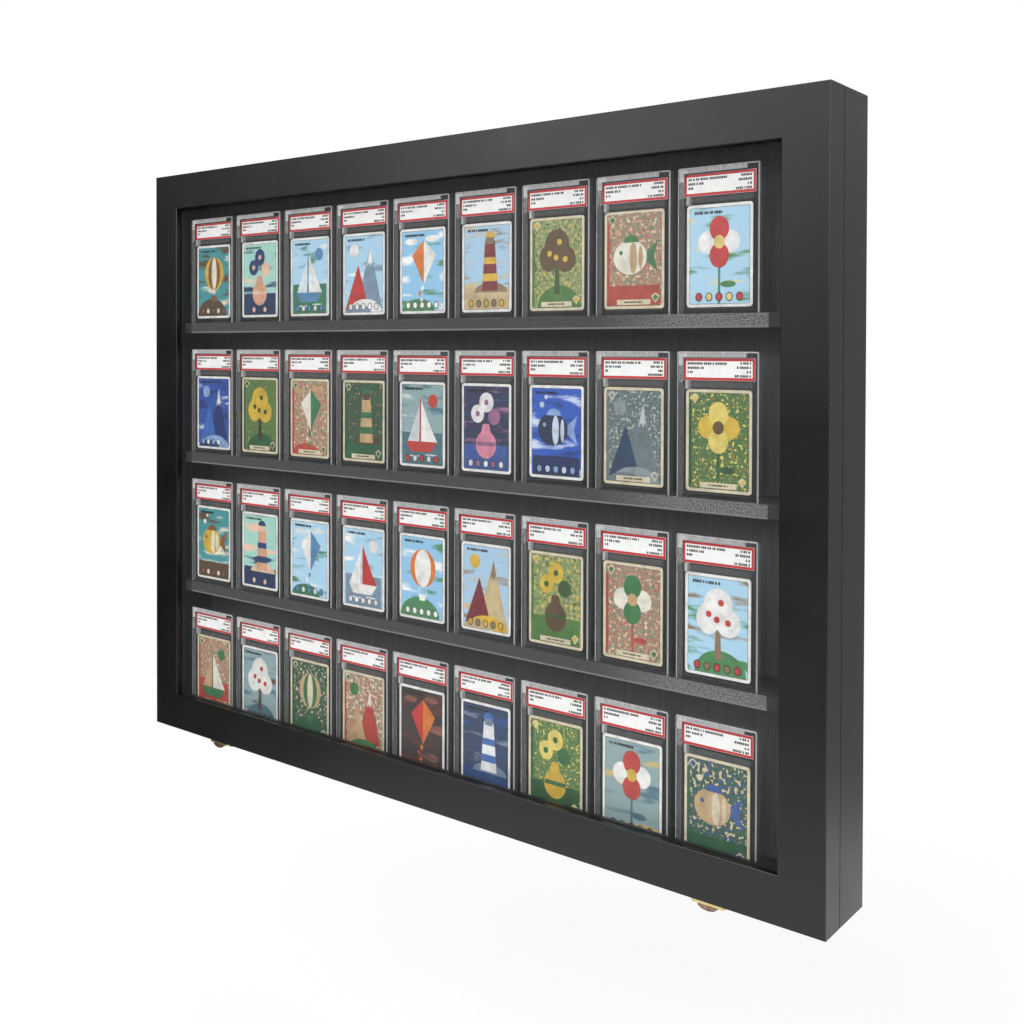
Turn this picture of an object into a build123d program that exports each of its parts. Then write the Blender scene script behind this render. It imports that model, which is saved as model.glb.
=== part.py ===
"""Wall-hung display case for graded trading cards, in millimetres.

A shallow wooden box carries grooved shelves that hold rows of graded card holders.
A glazed, mitred door is hinged along the top edge and held shut by two draw latches
under the bottom edge. The origin lies midway between the two keyhole hangers, on the
rear face that meets the wall: +X is to the right, +Y goes into the wall, +Z is up.
"""

import os
from math import atan2, cos, degrees, hypot, radians, sin

from build123d import *

os.makedirs("parts", exist_ok=True)

# ---------------------------------------------------------------- driving dimensions
# Cards, their labels and the two-shell holders they are sealed in
columns = 9
rows = 4
card_width = 63.5
card_height = 88.9
card_thickness = 0.4
label_width = 69.0
label_height = 19.2
label_thickness = 0.3
paper_gap = 0.05
holder_width = 78.8
holder_height = 133.4
holder_thickness = 6.2
holder_corner = 2.0
holder_top_margin = 5.8
label_to_card = 7.9
window_margin = 1.6
window_depth = 0.6
holder_gap = 7.65
row_offset = -9.5

# Case
board = 18.0
case_depth = 48.5
shelf_thickness = 12.7
groove_depth = 6.0
groove_clearance = 0.2
groove_lip = 2.3
dado_depth = 6.0
end_space = 41.3
head_room = 20.2
top_bay_extra = 17.0
panel_thickness = 5.0
panel_inset = 1.0
panel_side_lap = 4.0
panel_end_lap = 9.0
panel_clearance = 0.3

# Door
door_thickness = 27.5
seam_gap = 1.0
face_width = 42.0
flange_thickness = 13.0
rim_thickness = 9.0
nose_gap = 1.0
sweep_gap = 0.8
arris_radius = 0.8
glazing_thickness = 3.0
glazing_setback = 5.5
glazing_groove_depth = 9.0
glazing_edge_gap = 1.0
glazing_slack = 0.1
spline_width = 24.0
spline_length = 16.0
spline_thickness = 3.0
spline_from_corner = 24.0

# Butt hinges along the top
hinge_length = 50.0
hinge_inset = 120.0
leaf_thickness = 0.9
leaf_gap = 0.2
leaf_margin = 1.5
leaf_fit = 0.1
knuckle_radius = 2.2
knuckle_count = 3
knuckle_play = 0.3
knuckle_rise = 0.2
hinge_pin_radius = 1.0

# Draw latches under the bottom edge
latch_right_x = 338.0
latch_left_x = -322.0
base_width = 33.5
base_length = 21.2
base_setback = 0.8
base_thickness = 2.4
base_corner = 3.0
lever_width = 18.5
lever_sheet = 1.1
lever_gap = 0.3
lever_tab_drop = 4.3
pivot_from_base_rear = 4.5
pivot_drop = 3.6
pivot_boss_radius = 2.4
pivot_pin_radius = 1.0
ear_thickness = 1.2
bail_pivot_throw = 4.5
bail_pivot_rise = 0.7
bail_wire_radius = 0.8
bail_wire_flats = 8
bail_bend_radius = 1.8
bail_bend_steps = 2
bail_bar_drop = 4.2
catch_width = 24.0
catch_length = 17.0
catch_setback = 2.5
catch_sheet = 1.2
hook_width = 13.0
hook_setback = 7.5
hook_sheet = 1.1
hook_mouth = 1.9
hook_depth = 7.1
running_clearance = 0.05
side_play = 0.2

# Keyhole hangers let into the rear edges of the side boards
hanger_drop = 60.0
hanger_edge_distance = 6.9
hanger_plate_width = 11.5
hanger_plate_length = 38.0
hanger_plate_rise = 3.0
hanger_sheet = 1.5
keyhole_radius = 4.25
keyhole_slot_radius = 2.1
keyhole_slot_travel = 8.0
keyhole_pocket_margin = 0.5
keyhole_pocket_depth = 11.0

# Clearance round pins and splines that are pressed or glued in
press_fit = 0.02

# ---------------------------------------------------------------- derived places
pitch = holder_width + holder_gap
row_length = columns * holder_width + (columns - 1) * holder_gap
interior_width = row_length + 2 * end_space
case_width = interior_width + 2 * board
half_interior = interior_width / 2
half_width = case_width / 2

bay_height = holder_height - groove_depth + head_room
bottom_board = rim_thickness + sweep_gap + shelf_thickness
case_height = bottom_board + (rows - 1) * (bay_height + shelf_thickness) + bay_height + top_bay_extra + board
top_z = hanger_drop
bottom_z = top_z - case_height
shelf_tops = [bottom_z + bottom_board + row * (bay_height + shelf_thickness) for row in range(rows)]

case_front_y = -case_depth
door_back_y = case_front_y - seam_gap
door_front_y = door_back_y - door_thickness
flange_back_y = door_front_y + flange_thickness
shelf_front_y = flange_back_y + nose_gap
panel_front_y = -(panel_inset + panel_thickness)
groove_front_y = shelf_front_y + groove_lip
holder_front_y = groove_front_y + groove_clearance
holder_joint_y = holder_front_y + holder_thickness / 2
groove_width = holder_thickness + 2 * groove_clearance
column_x = [row_offset + (column - (columns - 1) / 2) * pitch for column in range(columns)]

hinge_axis_y = door_back_y + seam_gap / 2
hinge_axis_z = top_z + knuckle_radius + knuckle_rise
leaf_seat_depth = leaf_thickness + (leaf_gap - seam_gap) / 2
leaf_height = rim_thickness - leaf_margin
leaf_centre_z = top_z - leaf_height / 2
hinge_x = {"left": -(half_width - hinge_inset), "right": half_width - hinge_inset}

latch_x = {"left": latch_left_x, "right": latch_right_x}
base_front_y = door_front_y + base_setback
base_rear_y = base_front_y + base_length
base_under_z = bottom_z - base_thickness
pivot_y = base_rear_y - pivot_from_base_rear
pivot_z = base_under_z - pivot_drop
bail_pivot_y = pivot_y - bail_pivot_throw
bail_pivot_z = pivot_z + bail_pivot_rise
hook_web_y = case_front_y + hook_setback
bar_y = hook_web_y + hook_sheet + bail_wire_radius + 2 * running_clearance
bar_z = bottom_z - bail_bar_drop
ear_inner = lever_width / 2 + side_play
ear_outer = ear_inner + ear_thickness
leg_x = ear_outer + 2 * side_play + bail_wire_radius + bail_wire_radius / 2

hanger_x = half_width - hanger_edge_distance
keyhole_pocket_width = 2 * (keyhole_radius + keyhole_pocket_margin)

# The back panel laps over the top and bottom boards and the two sides
panel_centre_z = (top_z - board + bottom_z + bottom_board) / 2
panel_opening_width = interior_width + 2 * panel_side_lap
panel_opening_height = top_z - board - bottom_z - bottom_board + 2 * panel_end_lap


# ---------------------------------------------------------------- shared pieces
def save(builder, name):
    """Labels a finished piece and writes its STEP file."""
    builder.part.label = name
    export_step(builder.part, f"parts/{name}.step")


def cut_leaf_seats(seam_face_y, leaf_side):
    """Shallow seats for both hinges' leaves, let into a face of the seam along its top edge."""
    with BuildSketch(Plane.XZ.offset(-seam_face_y)) as seats:
        for centre_x in hinge_x.values():
            with Locations((centre_x, leaf_centre_z)):
                Rectangle(hinge_length + 2 * leaf_fit, leaf_height + 2 * leaf_fit)
    extrude(seats.sketch, amount=-leaf_side * leaf_seat_depth, mode=Mode.SUBTRACT)


# ---------------------------------------------------------------- case
def cut_panel_rebate():
    """The rebate that the back panel drops into, cut from the rear face."""
    with BuildSketch(Plane.XZ) as rebate:
        with Locations((0, panel_centre_z)):
            Rectangle(panel_opening_width, panel_opening_height)
    extrude(rebate.sketch, amount=panel_inset + panel_thickness, mode=Mode.SUBTRACT)


for side, name in ((-1, "case_left_side"), (1, "case_right_side")):
    with BuildPart() as side_board:
        with BuildSketch(Plane.XY.offset(bottom_z)):
            with Locations((side * (half_width - board / 2), -case_depth / 2)):
                Rectangle(board, case_depth)
        extrude(amount=case_height)
        # Housings for the ends of the top board, the bottom board and the shelves
        with BuildSketch(Plane.YZ.offset(side * half_interior)):
            with Locations((-case_depth / 2, top_z - board / 2)):
                Rectangle(case_depth, board)
            with Locations((-case_depth / 2, bottom_z + bottom_board / 2)):
                Rectangle(case_depth, bottom_board)
            for shelf_top in shelf_tops[1:]:
                with Locations(((case_front_y + panel_front_y) / 2, shelf_top - shelf_thickness / 2)):
                    Rectangle(panel_front_y - case_front_y, shelf_thickness)
        extrude(amount=side * dado_depth, mode=Mode.SUBTRACT)
        cut_panel_rebate()
        # Rear edge: a seat for the hanger plate and a pocket behind its keyhole
        with BuildSketch(Plane.XZ):
            with Locations((side * hanger_x, hanger_plate_rise)):
                Rectangle(hanger_plate_width, hanger_plate_length)
        extrude(amount=hanger_sheet, mode=Mode.SUBTRACT)
        with BuildSketch(Plane.XZ):
            with Locations((side * hanger_x, keyhole_slot_travel / 2)):
                Rectangle(keyhole_pocket_width, keyhole_pocket_width + keyhole_slot_travel)
        extrude(amount=keyhole_pocket_depth, mode=Mode.SUBTRACT)
    save(side_board, name)

with BuildPart() as top_board:
    with BuildSketch(Plane.XY.offset(top_z - board)):
        with Locations((0, -case_depth / 2)):
            Rectangle(interior_width + 2 * dado_depth, case_depth)
    extrude(amount=board)
    cut_panel_rebate()
    cut_leaf_seats(case_front_y, 1)
save(top_board, "case_top_board")

with BuildPart() as bottom_shelf:
    # The nose reaches over the door's rim and carries the lowest row's groove
    with BuildSketch(Plane.YZ.offset(-half_interior - dado_depth)):
        with BuildLine():
            Polyline(
                (0, bottom_z),
                (0, bottom_z + bottom_board),
                (groove_front_y + groove_width, bottom_z + bottom_board),
                (groove_front_y + groove_width, bottom_z + bottom_board - groove_depth),
                (groove_front_y, bottom_z + bottom_board - groove_depth),
                (groove_front_y, bottom_z + bottom_board),
                (shelf_front_y, bottom_z + bottom_board),
                (shelf_front_y, bottom_z + bottom_board - shelf_thickness),
                (case_front_y, bottom_z + bottom_board - shelf_thickness),
                (case_front_y, bottom_z),
                close=True,
            )
        make_face()
    extrude(amount=interior_width + 2 * dado_depth)
    cut_panel_rebate()
save(bottom_shelf, "case_bottom_board")

for row, name in ((1, "lower_shelf"), (2, "middle_shelf"), (3, "upper_shelf")):
    shelf_top = shelf_tops[row]
    with BuildPart() as shelf:
        with BuildSketch(Plane.YZ.offset(-half_interior - dado_depth)):
            with BuildLine():
                Polyline(
                    (panel_front_y, shelf_top - shelf_thickness),
                    (panel_front_y, shelf_top),
                    (groove_front_y + groove_width, shelf_top),
                    (groove_front_y + groove_width, shelf_top - groove_depth),
                    (groove_front_y, shelf_top - groove_depth),
                    (groove_front_y, shelf_top),
                    (shelf_front_y, shelf_top),
                    (shelf_front_y, shelf_top - shelf_thickness),
                    close=True,
                )
            make_face()
        extrude(amount=interior_width + 2 * dado_depth)
    save(shelf, name)

with BuildPart() as back_panel:
    with BuildSketch(Plane.XZ.offset(panel_inset)):
        with Locations((0, panel_centre_z)):
            Rectangle(panel_opening_width - 2 * panel_clearance, panel_opening_height - 2 * panel_clearance)
    extrude(amount=panel_thickness)
save(back_panel, "back_panel")

for side, name in ((-1, "keyhole_hanger_left"), (1, "keyhole_hanger_right")):
    with BuildPart() as hanger:
        with BuildSketch(Plane.XZ):
            with Locations((side * hanger_x, hanger_plate_rise)):
                Rectangle(hanger_plate_width, hanger_plate_length)
            with Locations((side * hanger_x, 0)):
                Circle(keyhole_radius, mode=Mode.SUBTRACT)
            with Locations((side * hanger_x, keyhole_slot_travel / 2)):
                SlotCenterToCenter(
                    keyhole_slot_travel, 2 * keyhole_slot_radius, rotation=90, mode=Mode.SUBTRACT
                )
        extrude(amount=hanger_sheet)
    save(hanger, name)

# ---------------------------------------------------------------- door
# Members run clockwise seen from the front, each from its own starting corner
corner_top_left = Vector(-half_width, door_front_y, top_z)
corner_top_right = Vector(half_width, door_front_y, top_z)
corner_bottom_right = Vector(half_width, door_front_y, bottom_z)
corner_bottom_left = Vector(-half_width, door_front_y, bottom_z)
door_members = {
    "door_top_rail": (corner_top_left, corner_top_right, Vector(0, 0, -1)),
    "door_right_stile": (corner_top_right, corner_bottom_right, Vector(-1, 0, 0)),
    "door_bottom_rail": (corner_bottom_right, corner_bottom_left, Vector(0, 0, 1)),
    "door_left_stile": (corner_bottom_left, corner_top_left, Vector(1, 0, 0)),
}
groove_front = glazing_setback
groove_back = glazing_setback + glazing_thickness + 2 * glazing_slack


def mitre_spline_place(corner, toward, inward):
    """Plane of the mitre at a corner, centred in the thickness of the face flange, with X along the mitre."""
    along_mitre = (toward + inward).normalized()
    centre = corner + along_mitre * spline_from_corner + Vector(0, flange_thickness / 2, 0)
    return Plane(origin=centre, x_dir=along_mitre, z_dir=toward - inward)


for name, (start, end, inward) in door_members.items():
    along = (end - start).normalized()
    length = (end - start).length
    with BuildPart() as member:
        # The moulding: a broad face flange with a glazing groove, and a thin outer rim behind it
        with BuildSketch(Plane(origin=start, x_dir=inward, z_dir=along)):
            with BuildLine():
                Polyline(
                    (0, 0),
                    (face_width, 0),
                    (face_width, groove_front),
                    (face_width - glazing_groove_depth, groove_front),
                    (face_width - glazing_groove_depth, groove_back),
                    (face_width, groove_back),
                    (face_width, flange_thickness),
                    (rim_thickness, flange_thickness),
                    (rim_thickness, door_thickness),
                    (0, door_thickness),
                    close=True,
                )
            face = make_face()
            fillet(face.vertices().group_by(Axis.Y)[0], arris_radius)
        extrude(amount=length)
        split(bisect_by=Plane(origin=start, z_dir=along - inward), keep=Keep.TOP)
        split(bisect_by=Plane(origin=end, z_dir=along + inward), keep=Keep.BOTTOM)
        for corner, toward in ((start, along), (end, -along)):
            with BuildSketch(mitre_spline_place(corner, toward, inward)):
                Rectangle(spline_width + 2 * press_fit, spline_thickness + 2 * press_fit)
            extrude(amount=spline_length / 2 + press_fit, both=True, mode=Mode.SUBTRACT)
        if name == "door_top_rail":
            cut_leaf_seats(door_back_y, -1)
    save(member, name)

with BuildPart() as mitre_splines:
    for start, end, inward in door_members.values():
        with BuildSketch(mitre_spline_place(start, (end - start).normalized(), inward)):
            Rectangle(spline_width, spline_thickness)
        extrude(amount=spline_length / 2, both=True)
save(mitre_splines, "mitre_splines")

glazing_reach = 2 * (face_width - glazing_groove_depth + glazing_edge_gap)
with BuildPart() as glazing:
    with BuildSketch(Plane.XZ.offset(-door_front_y - glazing_setback - glazing_slack)):
        with Locations((0, (top_z + bottom_z) / 2)):
            Rectangle(case_width - glazing_reach, case_height - glazing_reach)
    extrude(amount=-glazing_thickness)
save(glazing, "door_glazing")

# ---------------------------------------------------------------- hinges
knuckle_pitch = hinge_length / knuckle_count


def make_leaf(centre_x, leaf_side, own_knuckles, bore):
    """One hinge leaf: a flat plate in the seam with rolled knuckles above the top edge."""
    plate_face = hinge_axis_y + leaf_side * leaf_gap / 2
    with BuildPart() as leaf:
        with BuildSketch(Plane.XZ.offset(-plate_face)):
            with Locations((centre_x, leaf_centre_z)):
                Rectangle(hinge_length, leaf_height)
        extrude(amount=-leaf_side * leaf_thickness)
        for knuckle in own_knuckles:
            knuckle_start = centre_x - hinge_length / 2 + knuckle * knuckle_pitch + knuckle_play / 2
            with BuildSketch(Plane.YZ.offset(knuckle_start)):
                with Locations((hinge_axis_y, hinge_axis_z)):
                    Circle(knuckle_radius)
                with Locations((plate_face + leaf_side * leaf_thickness / 2, leaf_centre_z)):
                    Rectangle(leaf_thickness, 2 * (hinge_axis_z - leaf_centre_z))
            extrude(amount=knuckle_pitch - knuckle_play)
        # Below the plate the tabs are trimmed back to the plate's own lower edge
        with BuildSketch(Plane.XZ.offset(-plate_face)):
            with Locations((centre_x, top_z - leaf_height)):
                Rectangle(2 * hinge_length, 4 * leaf_height, align=(Align.CENTER, Align.MAX))
        extrude(amount=-leaf_side * 2 * leaf_thickness, mode=Mode.SUBTRACT)
        with BuildSketch(Plane.YZ.offset(centre_x - hinge_length)):
            with Locations((hinge_axis_y, hinge_axis_z)):
                Circle(bore)
        extrude(amount=2 * hinge_length, mode=Mode.SUBTRACT)
    return leaf


for side, centre_x in hinge_x.items():
    case_leaf = make_leaf(centre_x, 1, range(0, knuckle_count, 2), hinge_pin_radius + press_fit)
    save(case_leaf, f"hinge_{side}_case_leaf")
    door_leaf = make_leaf(centre_x, -1, range(1, knuckle_count, 2), hinge_pin_radius + running_clearance)
    save(door_leaf, f"hinge_{side}_door_leaf")
    with BuildPart() as hinge_pin:
        with BuildSketch(Plane.YZ.offset(centre_x - hinge_length / 2)):
            with Locations((hinge_axis_y, hinge_axis_z)):
                Circle(hinge_pin_radius)
        extrude(amount=hinge_length)
    save(hinge_pin, f"hinge_{side}_pin")

# ---------------------------------------------------------------- latches
web_top_z = base_under_z - lever_gap
web_under_z = web_top_z - lever_sheet
boss_under_z = pivot_z - pivot_boss_radius
leg_tilt = degrees(atan2(bar_z - bail_pivot_z, bar_y - bail_pivot_y))
leg_length = hypot(bar_z - bail_pivot_z, bar_y - bail_pivot_y)


def bent_route(points, radius, steps):
    """The points of a flat route whose square corners are bent round in a few equal steps."""
    corners = [Vector(point) for point in points]
    route = [corners[0]]
    for before, corner, after in zip(corners, corners[1:], corners[2:]):
        arrive = (corner - before).normalized()
        leave = (after - corner).normalized()
        centre = corner + (leave - arrive) * radius
        for step in range(steps + 1):
            turn = radians(90 * step / steps)
            route.append(centre - leave * (radius * cos(turn)) + arrive * (radius * sin(turn)))
    return [(point.X, point.Y) for point in [*route, corners[-1]]]


for side, centre_x in latch_x.items():
    with BuildPart() as base:
        with BuildSketch(Plane.XY.offset(bottom_z)):
            with Locations((centre_x, (base_front_y + base_rear_y) / 2)):
                RectangleRounded(base_width, base_length, base_corner)
        extrude(amount=-base_thickness)
        for hand in (-1, 1):
            with BuildSketch(Plane.YZ.offset(centre_x + hand * ear_inner)):
                with Locations((pivot_y, pivot_z)):
                    Circle(pivot_boss_radius)
                    Rectangle(
                        2 * pivot_boss_radius,
                        pivot_drop + base_thickness / 2,
                        align=(Align.CENTER, Align.MIN),
                    )
                    Circle(pivot_pin_radius + press_fit, mode=Mode.SUBTRACT)
            extrude(amount=hand * ear_thickness)
    save(base, f"latch_{side}_base")

    with BuildPart() as pivot_pin:
        with BuildSketch(Plane.YZ.offset(centre_x - ear_outer - side_play)):
            with Locations((pivot_y, pivot_z)):
                Circle(pivot_pin_radius)
        extrude(amount=2 * (ear_outer + side_play))
    save(pivot_pin, f"latch_{side}_pivot_pin")

    with BuildPart() as lever:
        # Flat web under the base, with a half-round thumb tab turned down at its free end
        with BuildSketch(Plane.XY.offset(web_top_z)):
            with Locations((centre_x, (base_front_y + bail_pivot_y) / 2 + bail_pivot_throw / 4)):
                Rectangle(lever_width, bail_pivot_y - base_front_y + bail_pivot_throw / 2)
        extrude(amount=-lever_sheet)
        with BuildSketch(Plane.XZ.offset(-base_front_y)):
            with Locations((centre_x, web_top_z)):
                Ellipse(lever_width / 2, lever_tab_drop)
                Rectangle(lever_width, lever_tab_drop, align=(Align.CENTER, Align.MIN), mode=Mode.SUBTRACT)
        extrude(amount=-lever_sheet)
        # Cheeks that carry the pivot pin and the ends of the bail
        for hand in (-1, 1):
            with BuildSketch(Plane.YZ.offset(centre_x + hand * lever_width / 2)):
                with BuildLine():
                    Polyline(
                        (base_front_y + bail_pivot_throw, web_top_z),
                        (base_front_y + bail_pivot_throw, web_under_z),
                        (bail_pivot_y - bail_wire_radius, bail_pivot_z - 2.5 * bail_wire_radius),
                        (pivot_y, boss_under_z),
                        (pivot_y, web_top_z),
                        close=True,
                    )
                make_face()
                with Locations((pivot_y, pivot_z)):
                    Circle(pivot_boss_radius)
                    Circle(pivot_pin_radius + running_clearance, mode=Mode.SUBTRACT)
                with Locations((bail_pivot_y, bail_pivot_z)):
                    Circle(bail_wire_radius + running_clearance, mode=Mode.SUBTRACT)
            extrude(amount=-hand * lever_sheet)
    save(lever, f"latch_{side}_lever")

    with BuildPart() as bail:
        # Bent wire: two inturned ends in the lever's cheeks, two legs and the bar behind the hook
        stub_x = lever_width / 2 - 1.5 * lever_sheet
        bail_points = [
            (-stub_x, 0),
            (-leg_x, 0),
            (-leg_x, leg_length),
            (leg_x, leg_length),
            (leg_x, 0),
            (stub_x, 0),
        ]
        bail_plane = Plane(origin=(centre_x, bail_pivot_y, bail_pivot_z), x_dir=(1, 0, 0), z_dir=(0, 0, 1))
        with BuildLine(bail_plane.rotated((leg_tilt, 0, 0))):
            wire = Polyline(*bent_route(bail_points, bail_bend_radius, bail_bend_steps))
        with BuildSketch(Plane(origin=wire @ 0, z_dir=wire % 0)):
            RegularPolygon(bail_wire_radius, bail_wire_flats)
        sweep(transition=Transition.RIGHT)
    save(bail, f"latch_{side}_bail")

    with BuildPart() as catch:
        with BuildSketch(Plane.XY.offset(bottom_z)):
            with Locations((centre_x, case_front_y + catch_setback + catch_length / 2)):
                RectangleRounded(catch_width, catch_length, base_corner)
        extrude(amount=-catch_sheet)
        with BuildSketch(Plane.YZ.offset(centre_x - hook_width / 2)):
            with BuildLine():
                Polyline(
                    (hook_web_y, bottom_z - catch_sheet / 2),
                    (hook_web_y, bottom_z - hook_depth),
                    (hook_web_y + hook_sheet + hook_mouth, bottom_z - hook_depth),
                    (hook_web_y + hook_sheet + hook_mouth, bottom_z - hook_depth + hook_sheet),
                    (hook_web_y + hook_sheet, bottom_z - hook_depth + hook_sheet),
                    (hook_web_y + hook_sheet, bottom_z - catch_sheet / 2),
                    close=True,
                )
            hook = make_face()
            fillet(hook.vertices().sort_by_distance((0, hook_web_y, bottom_z - hook_depth))[0], hook_sheet)
        extrude(amount=hook_width)
    save(catch, f"latch_{side}_catch")

# ---------------------------------------------------------------- holders, labels and cards
label_from_foot = holder_height - holder_top_margin - label_height / 2
card_from_foot = holder_height - holder_top_margin - label_height - label_to_card - card_height / 2


def window_sketch(foot_z, grow):
    """Label and card rectangles of one whole row, each grown by a margin all round."""
    for x in column_x:
        with Locations((x, foot_z + label_from_foot)):
            Rectangle(label_width + 2 * grow, label_height + 2 * grow)
        with Locations((x, foot_z + card_from_foot)):
            Rectangle(card_width + 2 * grow, card_height + 2 * grow)


def holder_sketch(foot_z):
    """Outlines of one whole row of holders, with eased corners."""
    for x in column_x:
        with Locations((x, foot_z + holder_height / 2)):
            outline = Rectangle(holder_width, holder_height)
        chamfer(outline.vertices(), holder_corner)


for row in range(rows):
    foot_z = shelf_tops[row] - groove_depth
    number = rows - row

    with BuildPart() as fronts:
        with BuildSketch(Plane.XZ.offset(-holder_joint_y)):
            holder_sketch(foot_z)
        extrude(amount=holder_thickness / 2)
        with BuildSketch(Plane.XZ.offset(-holder_front_y)):
            window_sketch(foot_z, window_margin)
        extrude(amount=-window_depth, mode=Mode.SUBTRACT)
    save(fronts, f"holder_fronts_row_{number}")

    with BuildPart() as backs:
        with BuildSketch(Plane.XZ.offset(-holder_joint_y)):
            holder_sketch(foot_z)
        extrude(amount=-holder_thickness / 2)
        with BuildSketch(Plane.XZ.offset(-holder_joint_y)):
            window_sketch(foot_z, paper_gap)
        extrude(amount=-(card_thickness + paper_gap), mode=Mode.SUBTRACT)
    save(backs, f"holder_backs_row_{number}")

    with BuildPart() as labels:
        with BuildSketch(Plane.XZ.offset(-holder_joint_y - paper_gap)):
            with Locations(*[(x, foot_z + label_from_foot) for x in column_x]):
                Rectangle(label_width, label_height)
        extrude(amount=-label_thickness)
    save(labels, f"grade_labels_row_{number}")

    with BuildPart() as cards:
        with BuildSketch(Plane.XZ.offset(-holder_joint_y - paper_gap / 2)):
            with Locations(*[(x, foot_z + card_from_foot) for x in column_x]):
                Rectangle(card_width, card_height)
        extrude(amount=-card_thickness)
    save(cards, f"cards_row_{number}")

print("outside", case_width, case_depth + seam_gap + door_thickness, case_height)
print("top", top_z, "bottom", bottom_z, "shelf tops", shelf_tops)
print("hinge axis", hinge_axis_y, hinge_axis_z)
print("lever pivot", pivot_y, pivot_z)
print("bail pivot", bail_pivot_y, bail_pivot_z, "bar", bar_y, bar_z, "tilt", leg_tilt)
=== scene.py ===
"""Finishes, printed cards, small hardware and studio for a wall-hung trading card display case.

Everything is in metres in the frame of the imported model: +X to the right, +Y into the
wall, +Z up. Sizes of pieces are given in millimetres and turned to metres by MM.
"""

import random
from math import asin, cos, pi, radians, sin, tau

import bmesh
import bpy
from mathutils import Matrix, Vector


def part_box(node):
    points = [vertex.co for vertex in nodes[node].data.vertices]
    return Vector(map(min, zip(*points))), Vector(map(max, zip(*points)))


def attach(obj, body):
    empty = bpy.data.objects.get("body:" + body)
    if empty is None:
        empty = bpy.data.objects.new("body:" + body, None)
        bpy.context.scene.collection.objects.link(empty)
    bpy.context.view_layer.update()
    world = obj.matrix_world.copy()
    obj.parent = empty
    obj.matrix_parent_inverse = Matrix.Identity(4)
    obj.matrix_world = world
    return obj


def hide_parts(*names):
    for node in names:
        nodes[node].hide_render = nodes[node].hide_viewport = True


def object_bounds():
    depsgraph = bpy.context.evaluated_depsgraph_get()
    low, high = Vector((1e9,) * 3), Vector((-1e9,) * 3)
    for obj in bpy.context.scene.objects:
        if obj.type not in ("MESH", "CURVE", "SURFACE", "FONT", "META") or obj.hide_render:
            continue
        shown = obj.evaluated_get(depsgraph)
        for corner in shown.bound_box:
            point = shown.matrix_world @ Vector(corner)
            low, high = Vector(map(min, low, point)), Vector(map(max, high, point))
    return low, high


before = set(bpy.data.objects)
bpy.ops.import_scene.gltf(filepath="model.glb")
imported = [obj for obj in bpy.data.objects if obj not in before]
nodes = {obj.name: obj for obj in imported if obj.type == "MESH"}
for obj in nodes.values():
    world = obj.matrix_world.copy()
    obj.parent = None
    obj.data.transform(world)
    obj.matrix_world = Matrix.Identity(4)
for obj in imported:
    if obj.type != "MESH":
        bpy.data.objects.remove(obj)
cad_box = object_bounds()
scene = bpy.context.scene

MM = 0.001
ROWS = (1, 2, 3, 4)
COLUMNS = 9


# -------------------- small tools
def linear(hex_colour):
    """An sRGB hex colour as linear RGBA."""
    channels = [int(hex_colour[i : i + 2], 16) / 255 for i in (1, 3, 5)]
    return (*(c / 12.92 if c <= 0.04045 else ((c + 0.055) / 1.055) ** 2.4 for c in channels), 1.0)


def grains(size_mm):
    """The scale at which a noise's grains measure size_mm."""
    return 1 / (size_mm * MM)


def add_node(tree, kind, inputs=None, stops=(), **settings):
    """Adds a shader node. Inputs that are nodes or sockets are linked, and other inputs, the
    settings and a colour ramp's stops of (position, hex colour) are set."""
    node = tree.nodes.new("ShaderNode" + kind)
    for name, value in settings.items():
        setattr(node, name, value)
    for key, value in (inputs or {}).items():
        if isinstance(value, bpy.types.Node):
            value = next(socket for socket in value.outputs if socket.enabled)
        if isinstance(value, bpy.types.NodeSocket):
            tree.links.new(value, node.inputs[key])
        else:
            node.inputs[key].default_value = value
    if stops:
        elements = node.color_ramp.elements
        while len(elements) < len(stops):
            elements.new(1.0)
        for element, (position, colour) in zip(elements, stops):
            element.position = position
            element.color = linear(colour)
    return node


def new_material(name):
    """An empty node material, its tree and the object coordinates in metres."""
    material = bpy.data.materials.new(name)
    material.use_nodes = True
    tree = material.node_tree
    tree.nodes.clear()
    return material, tree, add_node(tree, "TexCoord").outputs["Object"]


# The middle of a noise's range, where nearly all its values lie
MIDDLE = {"From Min": 0.3, "From Max": 0.7}


# -------------------- materials
def lacquered_board():
    """Poplar board, sprayed satin black: a dark pigment under a clear coat with a broad sheen."""
    material, tree, place = new_material("poplar_sprayed_satin_black")
    upright = add_node(tree, "Mapping", {"Vector": place, "Scale": (1.0, 1.0, 0.06)})
    grain = add_node(tree, "TexNoise", {"Vector": upright, "Scale": grains(3.0), "Detail": 4.0})
    mottle = add_node(tree, "TexNoise", {"Vector": place, "Scale": grains(60.0), "Detail": 3.0})
    pigment = add_node(tree, "ValToRGB", {"Fac": mottle}, ((0.3, "#040404"), (0.7, "#0a0a0a")))
    under = add_node(tree, "MapRange", {"Value": mottle, **MIDDLE, "To Min": 0.36, "To Max": 0.42})
    over = add_node(tree, "MapRange", {"Value": mottle, **MIDDLE, "To Min": 0.26, "To Max": 0.31})
    relief = add_node(tree, "Bump", {"Height": grain, "Distance": 0.03 * MM, "Strength": 0.25})
    looks = {"Base Color": pigment, "Roughness": under, "IOR": 1.5, "Normal": relief}
    coat = {"Coat Weight": 0.24, "Coat Roughness": over}
    shader = add_node(tree, "BsdfPrincipled", {**looks, **coat})
    add_node(tree, "OutputMaterial", {"Surface": shader})
    return material


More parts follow.
